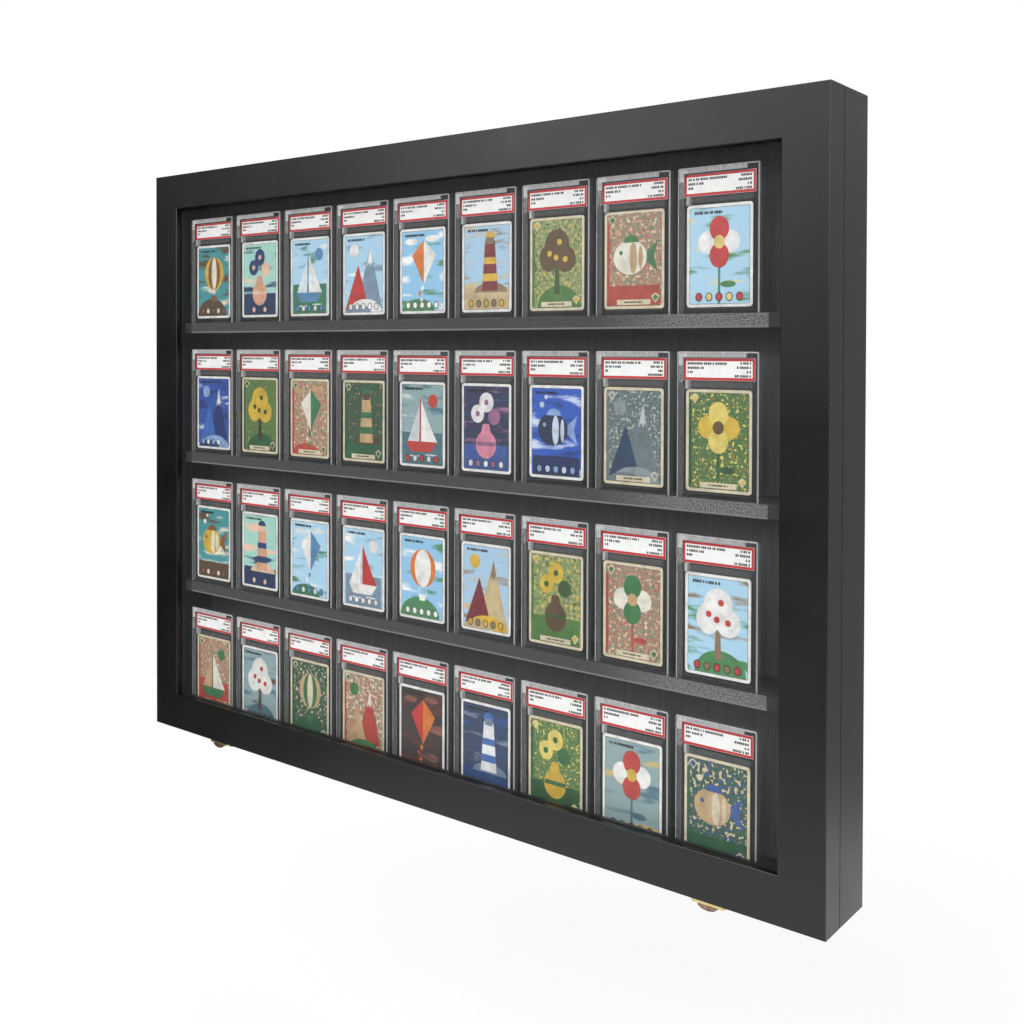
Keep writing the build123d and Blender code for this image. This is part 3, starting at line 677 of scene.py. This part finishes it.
PICTURES = {
    "boat": (
        ("block", 0, -0.6, 1, 0.4, 1), ("disc", 0.55, 0.6, 0.24, 0.17, 3),
        ("sail", 0.36, 0.08, 0.4, 0.52, 2), ("jib", -0.44, 0.0, 0.3, 0.44, 4),
        ("block", -0.08, 0.06, 0.025, 0.6, 3), ("hull", -0.02, -0.56, 0.78, 0.13, 3),
        ("disc", -0.4, -0.8, 0.3, 0.02, 4), ("disc", 0.45, -0.76, 0.3, 0.02, 4),
    ),
    "balloon": (
        ("dome", -0.1, -1, 1.0, 0.5, 1), ("disc", 0.05, 0.24, 0.64, 0.48, 2),
        ("disc", 0.05, 0.24, 0.4, 0.475, 3), ("disc", 0.05, 0.24, 0.17, 0.47, 4),
        ("block", -0.12, -0.34, 0.015, 0.12, 3), ("block", 0.22, -0.34, 0.015, 0.12, 3),
        ("hull", 0.05, -0.5, 0.2, 0.08, 3),
    ),
    "peaks": (
        ("disc", -0.5, 0.62, 0.24, 0.17, 3), ("peak", 0.3, -0.1, 0.7, 0.8, 1),
        ("snow", 0.335, 0.45, 0.35, 0.26, 4), ("peak", -0.35, -0.36, 0.65, 0.6, 2),
        ("dome", 0.1, -1, 0.9, 0.34, 3), ("dome", -0.3, -1, 0.7, 0.2, 1),
    ),
    "tree": (
        ("dome", 0.1, -1, 0.9, 0.5, 1), ("tower", 0.02, -0.34, 0.12, 0.36, 4),
        ("disc", -0.32, 0.14, 0.42, 0.32, 2), ("disc", 0.36, 0.1, 0.42, 0.3, 2),
        ("disc", 0.02, 0.44, 0.5, 0.36, 2), ("disc", -0.3, 0.24, 0.1, 0.07, 3),
        ("disc", 0.12, 0.5, 0.1, 0.07, 3), ("disc", 0.36, 0.1, 0.1, 0.07, 3),
        ("disc", -0.02, 0.14, 0.1, 0.07, 3),
    ),
    "vase": (
        ("block", 0, -0.7, 1, 0.3, 1), ("disc", 0, -0.4, 0.46, 0.34, 2),
        ("tower", 0, -0.04, 0.24, 0.14, 2), ("block", 0, -0.38, 0.44, 0.05, 4),
        ("disc", -0.38, 0.34, 0.3, 0.22, 3), ("disc", 0.38, 0.28, 0.28, 0.2, 4),
        ("disc", 0.02, 0.62, 0.32, 0.24, 3), ("disc", -0.38, 0.34, 0.1, 0.07, 4),
        ("disc", 0.02, 0.62, 0.1, 0.07, 4),
    ),
    "kite": (
        ("dome", -0.2, -1, 0.8, 0.3, 1), ("disc", -0.55, 0.74, 0.32, 0.08, 4),
        ("disc", 0.5, 0.8, 0.36, 0.08, 4), ("kite", 0.08, 0.22, 0.86, 0.56, 2),
        ("half_kite", 0.08, 0.22, 0.86, 0.56, 3), ("kite", 0.02, -0.44, 0.12, 0.08, 3),
        ("kite", -0.12, -0.58, 0.12, 0.08, 2), ("kite", -0.02, -0.74, 0.12, 0.08, 3),
    ),
    "lighthouse": (
        ("block", 0, -0.74, 1, 0.26, 1), ("dome", 0.2, -0.6, 0.76, 0.24, 4),
        ("tower", 0.16, 0.04, 0.36, 0.6, 2), ("block", 0.16, -0.24, 0.32, 0.09, 3),
        ("block", 0.16, 0.16, 0.28, 0.08, 3), ("block", 0.16, 0.64, 0.18, 0.08, 4),
        ("dome", 0.16, 0.72, 0.24, 0.15, 3),
    ),
    "fish": (
        ("block", 0, -0.78, 1, 0.22, 1), ("tail", 0.6, 0.06, 0.3, 0.34, 3),
        ("disc", -0.14, 0.06, 0.62, 0.38, 2), ("dome", -0.1, 0.38, 0.3, 0.16, 3),
        ("disc", -0.02, 0.04, 0.14, 0.34, 4), ("disc", 0.26, 0.04, 0.08, 0.26, 4),
        ("disc", -0.5, 0.16, 0.07, 0.05, 3), ("disc", -0.6, 0.62, 0.1, 0.07, 4),
        ("disc", -0.42, 0.8, 0.07, 0.05, 4),
    ),
    "blossom": (
        ("block", 0, -0.5, 0.04, 0.5, 1), ("disc", 0.3, -0.6, 0.26, 0.07, 1),
        ("disc", -0.36, 0.28, 0.36, 0.24, 2), ("disc", 0.36, 0.28, 0.36, 0.24, 2),
        ("disc", 0, 0.56, 0.34, 0.26, 3), ("disc", 0, 0.0, 0.34, 0.26, 3),
        ("disc", 0, 0.28, 0.19, 0.14, 4),
    ),
}
# For each row, its cards from left to right: stock, picture, and tones from ground to accents
WHITE, CREAM = "#efeeea", "#ddd2b4"
CARDS = {
    1: (
        (WHITE, "balloon", "#3f8f93", "#5a4632", "#d8b23c", "#8a5a34", "#e9e2cc"),
        (WHITE, "vase", "#9fd0c4", "#22365e", "#d9a585", "#28406e", "#e6c4a8"),
        (WHITE, "boat", "#a9cfe6", "#3f7f5a", "#f1f1ec", "#5f8fb8", "#dfe8ec"),
        (WHITE, "peaks", "#a6cde4", "#7d94a8", "#c23a34", "#e9e9e6", "#f2f2f0"),
        (WHITE, "kite", "#8fc1e2", "#4f8a5a", "#e07b34", "#f0efe8", "#f4f4f2"),
        (WHITE, "lighthouse", "#a4c4dc", "#c9b58a", "#7c2f34", "#d9b13e", "#8d7a5c"),
        (CREAM, "tree", "#a8a878", "#4f7a3c", "#5f4a30", "#d4b440", "#3e5a30"),
        (CREAM, "fish", "#8f9a86", "#b04a3c", "#e9e4d6", "#3d7a48", "#c4a276"),
        (WHITE, "blossom", "#a8d0e6", "#4c8a54", "#f0f0ee", "#c63c3a", "#e8d080"),
    ),
    2: (
        (WHITE, "peaks", "#2a4f9e", "#1d3570", "#3c69b8", "#8fb0dc", "#dfe8f2"),
        (CREAM, "tree", "#6e8a4e", "#2f5c34", "#d0ae3c", "#294a30", "#3a2f24"),
        (CREAM, "kite", "#9aa08a", "#b5483a", "#e6e0d2", "#3f7a4c", "#c2a078"),
        (CREAM, "lighthouse", "#3a4038", "#2f6040", "#c4a67c", "#38704a", "#554430"),
        (WHITE, "boat", "#8aa3a6", "#4f7480", "#eeeeea", "#bf4238", "#d4dcdc"),
        (WHITE, "vase", "#2e3550", "#3b5a9a", "#d88aa0", "#e8e6e6", "#9a6a8c"),
        (WHITE, "fish", "#2b56b4", "#1f2f5c", "#26304c", "#88a4d8", "#c8d6ec"),
        (CREAM, "peaks", "#41564a", "#6c7a80", "#27405c", "#8a9698", "#c6ccca"),
        (CREAM, "blossom", "#5a8048", "#2f5a34", "#d8b844", "#e0cc6c", "#6a4f2c"),
    ),
    3: (
        (WHITE, "fish", "#3f8f93", "#5a4632", "#d8b23c", "#8a5a34", "#e9e2cc"),
        (WHITE, "lighthouse", "#9fd0c4", "#22365e", "#d9a585", "#28406e", "#e6c4a8"),
        (WHITE, "kite", "#a9cfe6", "#3f7f5a", "#f1f1ec", "#5f8fb8", "#dfe8ec"),
        (WHITE, "boat", "#a6cde4", "#7d94a8", "#c23a34", "#e9e9e6", "#f2f2f0"),
        (WHITE, "balloon", "#8fc1e2", "#4f8a5a", "#e07b34", "#f0efe8", "#f4f4f2"),
        (WHITE, "peaks", "#a4c4dc", "#c9b58a", "#7c2f34", "#d9b13e", "#8d7a5c"),
        (CREAM, "vase", "#a8a878", "#4f7a3c", "#5f4a30", "#d4b440", "#3e5a30"),
        (CREAM, "blossom", "#8f9a86", "#b04a3c", "#e9e4d6", "#3d7a48", "#c4a276"),
        (WHITE, "tree", "#a8d0e6", "#4c8a54", "#f0f0ee", "#c63c3a", "#8d7050"),
    ),
    4: (
        (CREAM, "boat", "#9aa08a", "#b5483a", "#e6e0d2", "#3f7a4c", "#c2a078"),
        (WHITE, "tree", "#8aa3a6", "#4f7480", "#e4e4e0", "#bf4238", "#5a4a3c"),
        (CREAM, "balloon", "#3a4038", "#2f6040", "#c4a67c", "#38704a", "#d8ccb0"),
        (CREAM, "peaks", "#9aa08a", "#b5483a", "#c2a078", "#3f7a4c", "#e6e0d2"),
        (WHITE, "kite", "#3c3030", "#5c3a30", "#c43c34", "#d87c34", "#8a5a4a"),
        (WHITE, "lighthouse", "#32405c", "#2c4a80", "#eceeee", "#4470b4", "#7c8aa0"),
        (CREAM, "vase", "#6e8a4e", "#2f5c34", "#d0ae3c", "#e0cc6c", "#3a6a3c"),
        (WHITE, "blossom", "#8aa3a6", "#4f7480", "#eeeeea", "#bf4238", "#d8b844"),
        (CREAM, "fish", "#3a4a44", "#2f6040", "#c4a67c", "#3a5a9c", "#d8ccb0"),
    ),
}
CARD_BORDER, KEYLINE, PICTURE_CORNER = 3.0, 0.35, 1.5
NARROWEST = 0.95  # to which a shape of a picture may shrink from side to side
SEEDS_PER_ROW = 100
# What stands round the picture. Places are parts of its half sizes, and sizes are millimetres.
# A line has its start, rise, length and height, and a panel its left, right, foot and top.
TITLE, PLAQUE_LINE = (-0.84, 0.9, 0.9, 2.4), (-0.34, -0.927, 0.66, 1.6)
STRIPE, PLAQUE = (-1.0, -0.9, -0.96, 0.8), (-0.62, 0.62, -0.985, -0.87)
DOTS, DOT_STEP, DOT_RISE = 5, 0.34, -0.86
DOT_RIM, DOT_FACE = (3.4, 3.9), (2.6, 3.1)
BADGES = ((0.8, -0.84), (-0.8, 0.88))
BADGE_RIM, BADGE_FACE = (6.2, 4.6), (4.4, 3.2)
# A card's materials: the stock, the ground, four tones, the tone of every other dot, and black
IN_STOCK, IN_GROUND, IN_LAND, _, IN_SECOND, IN_ACCENT, IN_DOTS, IN_BLACK = range(8)


def sky_ground(name, tones):
    """Offset ink, a soft sky: level streaks of two tones and a lighter one."""
    material, tree, place = new_material(name)
    level = add_node(tree, "Mapping", {"Vector": place, "Scale": (0.22, 1.0, 1.0)})
    drift = add_node(tree, "TexNoise", {"Vector": level, "Scale": grains(11.0), "Detail": 3.0})
    streaks = ((0.34, tones[1]), (0.43, tones[0]), (0.58, tones[0]), (0.68, tones[4]))
    return picture_ground(material, tree, place, drift, streaks)


def leafy_ground(name, tones):
    """Offset ink, a busy hedge: small blots of all the picture's tones."""
    material, tree, place = new_material(name)
    blots = add_node(tree, "TexNoise", {"Vector": place, "Scale": grains(3.6)})
    order = (tones[3], tones[0], tones[1], tones[0], tones[4], tones[2])
    leaves = tuple(zip((0.34, 0.42, 0.5, 0.56, 0.62, 0.7), order))
    return picture_ground(material, tree, place, blots, leaves)


def picture_ground(material, tree, place, pattern, stops):
    """Ends a picture's ground in ink with the slight gloss of coated stock."""
    colour = add_node(tree, "ValToRGB", {"Fac": pattern}, stops)
    screen = add_node(tree, "TexNoise", {"Vector": place, "Scale": grains(0.7)})
    gloss = add_node(tree, "MapRange", {"Value": screen, **MIDDLE, "To Min": 0.38, "To Max": 0.46})
    looks = {"Base Color": colour, "Roughness": gloss, "IOR": 1.5}
    shader = add_node(tree, "BsdfPrincipled", looks)
    add_node(tree, "OutputMaterial", {"Surface": shader})
    return material


def add_shape(mesh, outline, centre, half_size, y, material):
    """A flat printed shape of a unit outline."""
    (x, z), (half_x, half_z) = centre, half_size
    points = [
        mesh.verts.new(((x + px * half_x) * MM, y * MM, (z + pz * half_z) * MM))
        for px, pz in outline
    ]
    mesh.faces.new(points).material_index = material


def add_line(mesh, x, z, half, line, y, dice):
    """A line of dashes beside the picture."""
    start, rise, length, height = line
    place = (x + start * half[0], 1, z + rise * half[1])
    add_dashes(mesh, *place, length * half[0], height, y, IN_BLACK, dice)


def add_panel(mesh, x, z, half, sides, y, material):
    """A rectangle whose sides are parts of the picture's half sizes."""
    x0, x1, z0, z1 = sides
    across, up = half
    add_rectangle(mesh, x + x0 * across, x + x1 * across, z + z0 * up, z + z1 * up, y, material)


def add_sky_furniture(mesh, x, z, half, y, dice):
    """A line of dashes over the picture and a row of bright dots under it."""
    add_line(mesh, x, z, half, TITLE, y, dice)
    for i in range(DOTS):
        centre = (x + (i - DOTS // 2) * DOT_STEP * half[0], z + DOT_RISE * half[1])
        tone = IN_ACCENT if i % 2 else IN_DOTS
        add_shape(mesh, OUTLINES["disc"], centre, DOT_RIM, y, IN_BLACK)
        add_shape(mesh, OUTLINES["disc"], centre, DOT_FACE, y - PRINT_STEP, tone)


def add_hedge_furniture(mesh, x, z, half, y, dice):
    """A side stripe, a blank plaque with dashes and two corner badges."""
    add_panel(mesh, x, z, half, STRIPE, y, IN_LAND)
    add_panel(mesh, x, z, half, PLAQUE, y, IN_STOCK)
    add_line(mesh, x, z, half, PLAQUE_LINE, y - PRINT_STEP, dice)
    for u, v in BADGES:
        centre = (x + u * half[0], z + v * half[1])
        add_shape(mesh, OUTLINES["kite"], centre, BADGE_RIM, y, IN_STOCK)
        add_shape(mesh, OUTLINES["kite"], centre, BADGE_FACE, y - PRINT_STEP, IN_SECOND)


def make_card(row, column, x, foot):
    """A card with rounded corners, a border and a printed picture."""
    stock, picture, *tones = CARDS[row][column]
    dice = random.Random(SEEDS_PER_ROW * row + column)
    width, height, rise = CARD
    z = foot + rise
    mesh = bmesh.new()
    outline = rounded_outline(width, height, CARD_CORNER, LARGE_CORNER)
    near = add_ring(mesh, outline, x, CARD_FRONT, z)
    far = add_ring(mesh, outline, x, CARD_FRONT + CARD_THICKNESS, z)
    bridge(mesh, far, near, IN_STOCK)
    mesh.faces.new(near).material_index = IN_STOCK
    mesh.faces.new(far[::-1]).material_index = IN_STOCK
    half = (width / 2 - CARD_BORDER, height / 2 - CARD_BORDER)
    level = CARD_FRONT - PRINT_STEP
    for spread, material in ((KEYLINE, IN_BLACK), (0.0, IN_GROUND)):
        size = (2 * (half[0] + spread), 2 * (half[1] + spread), PICTURE_CORNER, SMALL_CORNER)
        ring = add_ring(mesh, rounded_outline(*size), x, level, z)
        mesh.faces.new(ring).material_index = material
        level -= PRINT_STEP
    for kind, u, v, du, dv, tone in PICTURES[picture]:
        grow = dice.uniform(NARROWEST, 1.0)
        centre = (x + u * half[0] * grow, z + v * half[1])
        half_size = (du * half[0] * grow, dv * half[1])
        add_shape(mesh, OUTLINES[kind], centre, half_size, level, IN_GROUND + tone)
        level -= PRINT_STEP
    name = f"row_{row}_card_{column + 1}"
    if stock == CREAM:
        add_hedge_furniture(mesh, x, z, half, level, dice)
        ground = leafy_ground("ink_hedge_" + name, tones)
    else:
        add_sky_furniture(mesh, x, z, half, level, dice)
        ground = sky_ground("ink_sky_" + name, tones)
    bmesh.ops.recalc_face_normals(mesh, faces=mesh.faces)
    materials = [ink(stock), ground, *(ink(tone) for tone in tones[1:]), ink(tones[3]), BLACK_INK]
    card = piece(f"card_{name}", mesh, BODY, materials)
    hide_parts(f"cards_row_{row}")


for row in ROWS:
    row_foot = box_mm(f"holder_fronts_row_{row}")[0].z
    row_dice = random.Random(row)
    holder_mesh = bmesh.new()
    print_mesh = bmesh.new()
    for column, x in enumerate(column_x):
        add_holder(holder_mesh, x, row_foot)
        add_label_print(print_mesh, x, row_foot, row_dice)
        make_card(row, column, x, row_foot)
    in_holders = [CLEAR, FROSTED_HIGHLIGHT, HAZED, PALE, SOFT, BRIGHT]
    holders = piece(f"card_holders_row_{row}", holder_mesh, BODY, in_holders)
    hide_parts(f"holder_fronts_row_{row}", f"holder_backs_row_{row}")
    piece(f"label_print_row_{row}", print_mesh, BODY, [RED_INK, BLACK_INK])

# -------------------- screws
SCREW_STEPS = 24
# As parts of a head's radius: half the slot, the disc under the slot, and the head's flat top
SLOT_HALF, DISC_SHARE, TOP_SHARE = 0.16, 0.97, 0.86
DISC_RISE = 0.2  # as a part of the head's height


def half_round(radius, slot, side):
    """The outline of a round head's part on one side of its slot."""
    limit = asin(slot / radius)
    steps = SCREW_STEPS // 2
    angles = [limit + (pi - 2 * limit) * i / steps + side for i in range(steps + 1)]
    return [(radius * cos(angle), radius * sin(angle)) for angle in angles]


def screw_head(mesh, centre, facing, radius, proud, turn):
    """A slotted head: two low half rounds on a disc, with a slot between them."""
    aim = facing.to_track_quat("Z", "Y").to_matrix().to_4x4()
    place = Matrix.Translation(centre) @ aim @ Matrix.Rotation(turn, 4, "Z")

    def ring_at(points, height):
        flat = [Vector((px * MM, py * MM, height * MM)) for px, py in points]
        return [mesh.verts.new(place @ point) for point in flat]

    turns = [tau * i / SCREW_STEPS for i in range(SCREW_STEPS)]
    disc = [(radius * DISC_SHARE * cos(a), radius * DISC_SHARE * sin(a)) for a in turns]
    mesh.faces.new(ring_at(disc, proud * DISC_RISE))
    slot = radius * SLOT_HALF
    for side in (0, pi):
        low = ring_at(half_round(radius, slot, side), 0)
        top = ring_at(half_round(radius * TOP_SHARE, slot, side), proud)
        bridge(mesh, low, top)
        mesh.faces.new(top)


def add_screws(name, body, material, slot_name, places, facing, radius, proud, seed):
    """A set of slotted screws, each stopped at its own turn."""
    dice = random.Random(seed)
    mesh = bmesh.new()
    for place in places:
        screw_head(mesh, Vector(place) * MM, Vector(facing), radius, proud, dice.uniform(0, pi))
    piece(name, mesh, body, [material])


# The middles of the hinges and latches, and where the screws stand, in millimetres
HINGES, LATCHES = (-324.5, 324.5), (-322.0, 338.0)
HINGE_X = [x + step for x in HINGES for step in (-18, 0, 18)]
BASE_X = [x + step for x in LATCHES for step in (-13.85, 13.85)]
CATCH_X = [x + step for x in LATCHES for step in (-8.2, 8.2)]
HANGER_X, HANGER_Z = (-437.6, 437.6), (-12.0, 18.0)
PANEL_X = (-319.9, -106.6, 106.6, 319.9)
PANEL_Z = (46.5, -128.95, -289.25, -449.55, -608.0)
FORWARD, BACKWARD, DOWN = (0, -1, 0), (0, 1, 0), (0, 0, -1)
# For each set of screws: its name, body, metal and slot, its places, the way that the heads
# face, their radius and how proud they stand
SCREWS = (
    ("hinge_screws_case", "case", BRASS, "brass",
     [(x, -48.9, 56.25) for x in HINGE_X], FORWARD, 1.9, 0.08),
    ("hinge_screws_door", "door", BRASS, "brass",
     [(x, -49.1, 56.25) for x in HINGE_X], BACKWARD, 1.9, 0.08),
    ("latch_base_screws", "door", BRASS, "brass",
     [(x, y, -628.4) for x in BASE_X for y in (-70.9, -60.3)], DOWN, 1.7, 0.5),
    ("latch_catch_screws", "case", BRASS, "brass",
     [(x, -32.8, -627.2) for x in CATCH_X], DOWN, 1.7, 0.5),
    ("hanger_screws", "case", ZINC, "zinc_steel",
     [(x, -0.04, z) for x in HANGER_X for z in HANGER_Z], BACKWARD, 2.6, 0.06),
    ("back_panel_screws", "case", ZINC, "zinc_steel",
     [(x, -1.0, z) for x in PANEL_X for z in PANEL_Z], BACKWARD, 3.0, 0.5),
)
FIRST_SEED = 11
for seed, screw_set in enumerate(SCREWS, FIRST_SEED):
    add_screws(*screw_set, seed)

# -------------------- floor, world, lamps and camera
# In metres
FLOOR_RADIUS, FLOOR_STEPS = 1.0, 96
FLOOR_MIDDLE = (0.35, -0.15)
FLOOR_DROP = 0.25
# Where the paper starts to fade to the plain white, and how white it is before that
FADE_FROM, FADE_LEAST = 0.5, 0.7


def background_rays(tree, mirrored=1.0):
    """1 for the rays that see the plain white background: straight on, through clear plastic,
    and as far as mirrored says, off metal and gloss."""
    rays = add_node(tree, "LightPath").outputs
    gloss = add_node(tree, "Math", {0: rays["Is Glossy Ray"], 1: mirrored}, operation="MULTIPLY")
    clear = add_node(tree, "Math", {0: rays["Is Transmission Ray"], 1: gloss}, operation="MAXIMUM")
    return add_node(tree, "Math", {0: rays["Is Camera Ray"], 1: clear}, operation="MAXIMUM")


def pale_floor():
    """Seamless paper, pale and matt, that runs out into the plain white of the background."""
    material, tree, place = new_material("paper_seamless_pale")
    fibre = add_node(tree, "TexNoise", {"Vector": place, "Scale": grains(8.0)})
    colour = add_node(tree, "ValToRGB", {"Fac": fibre}, ((0.3, "#f2f2f2"), (0.7, "#f7f7f7")))
    paper = add_node(tree, "BsdfPrincipled", {"Base Color": colour, "Roughness": 0.9})
    white = add_node(tree, "Emission", {"Color": linear("#ffffff"), "Strength": 1.0})
    away = add_node(tree, "VectorMath", {0: place}, operation="LENGTH").outputs["Value"]
    fade_range = {"From Min": FADE_FROM, "From Max": FLOOR_RADIUS, "To Min": FADE_LEAST}
    fade = add_node(tree, "MapRange", {"Value": away, **fade_range})
    seen = add_node(tree, "Math", {0: fade, 1: background_rays(tree)}, operation="MULTIPLY")
    both = add_node(tree, "MixShader", {"Fac": seen, 1: paper, 2: white})
    add_node(tree, "OutputMaterial", {"Surface": both})
    return material


floor_z = cad_box[0][2] - FLOOR_DROP
floor_mesh = bmesh.new()
floor_turns = [tau * i / FLOOR_STEPS for i in range(FLOOR_STEPS)]
floor_outline = [(FLOOR_RADIUS * cos(turn), FLOOR_RADIUS * sin(turn)) for turn in floor_turns]
floor_mesh.faces.new([floor_mesh.verts.new((fx, fy, 0.0)) for fx, fy in floor_outline])
floor = new_object("floor", floor_mesh, [pale_floor()])
floor.location = (*FLOOR_MIDDLE, floor_z)

SKY_LEVEL = 1.6
world = bpy.data.worlds.new("soft_studio")
world.use_nodes = True
sky = world.node_tree
sky.nodes.clear()
way = add_node(sky, "SeparateXYZ", {"Vector": add_node(sky, "TexCoord").outputs["Generated"]})
times = {"data_type": "RGBA", "blend_type": "MULTIPLY"}
# Soft light from overhead, a dim horizon and a grey studio floor far off
rise = add_node(sky, "MapRange", {"Value": way.outputs["Z"], "From Min": -1.0})
heights = (
    (0.36, "#868686"), (0.42, "#121212"), (0.5, "#121212"), (0.52, "#282828"), (0.6, "#f0f0f0"),
    (1.0, "#ffffff"),
)
overhead = add_node(sky, "ValToRGB", {"Fac": rise}, heights)
# The left side of the studio is darker
across = add_node(sky, "MapRange", {"Value": way.outputs["X"], "From Min": -1.0})
breadths = (
    (0.0, "#202020"), (0.1, "#545454"), (0.2, "#ffffff"), (0.33, "#e1e1e1"), (1.0, "#eeeeee"),
)
sides = add_node(sky, "ValToRGB", {"Fac": across}, breadths)
falling = add_node(sky, "Mix", {"Factor": 1.0, "A": overhead, "B": sides}, **times)
# The far side, past the object, is dimmer than the side of the camera
far = add_node(sky, "ValToRGB", {"Fac": way.outputs["Y"]}, ((0.3, "#ffffff"), (0.8, "#b0b0b0")))
fading = add_node(sky, "Mix", {"Factor": 1.0, "A": falling, "B": far}, **times)
# A dim wall on the right
wall = add_node(sky, "ValToRGB", {"Fac": across}, ((0.5, "#000000"), (0.7, "#808080")))
lit = add_node(
    sky, "Mix", {"Factor": 1.0, "A": fading, "B": wall}, data_type="RGBA", blend_type="LIGHTEN"
)
# The white background stands behind the object and to its left
behind = add_node(sky, "MapRange", {"Value": way.outputs["Y"], "From Max": 0.3})
to_left = add_node(sky, "MapRange", {"Value": way.outputs["X"], "From Min": 0.3, "From Max": 0.0})
backdrop = add_node(sky, "Math", {0: behind, 1: to_left}, operation="MULTIPLY")
plain = add_node(sky, "Background", {"Color": linear("#ffffff"), "Strength": 1.0})
soft = add_node(sky, "Background", {"Color": lit, "Strength": SKY_LEVEL})
shown = add_node(sky, "MixShader", {"Fac": background_rays(sky, backdrop), 1: soft, 2: plain})
add_node(sky, "OutputWorld", {"Surface": shown})
scene.world = world


def soft_lamp(name, place, aim, size, power):
    """A square soft box."""
    light = bpy.data.lights.new(name, "AREA")
    light.shape = "SQUARE"
    light.size = size
    light.energy = power
    lamp = bpy.data.objects.new(name, light)
    lamp.location = place
    lamp.rotation_euler = (Vector(aim) - Vector(place)).to_track_quat("-Z", "Y").to_euler()
    scene.collection.objects.link(lamp)


soft_lamp("soft_box_front", (0.4, -2.7, 1.6), (0.0, 0.0, -0.3), size=1.6, power=37)
soft_lamp("soft_box_left", (-1.25, -2.08, 0.46), (0.1, 0.0, 0.0), size=0.8, power=5)
soft_lamp("soft_box_right", (2.4, -0.9, 1.4), (0.0, 0.0, -0.3), size=1.4, power=5)

camera_data = bpy.data.cameras.new("camera")
camera_data.lens = 41.363
camera_data.sensor_width = 36.0
camera_data.shift_y = -0.14436
camera = bpy.data.objects.new("camera", camera_data)
camera.location = (0.8228, -0.9646, -0.1535)
camera.rotation_euler = (radians(89.248), radians(-0.158), radians(38.171))
scene.collection.objects.link(camera)
scene.camera = camera
scene.view_settings.view_transform = "Standard"
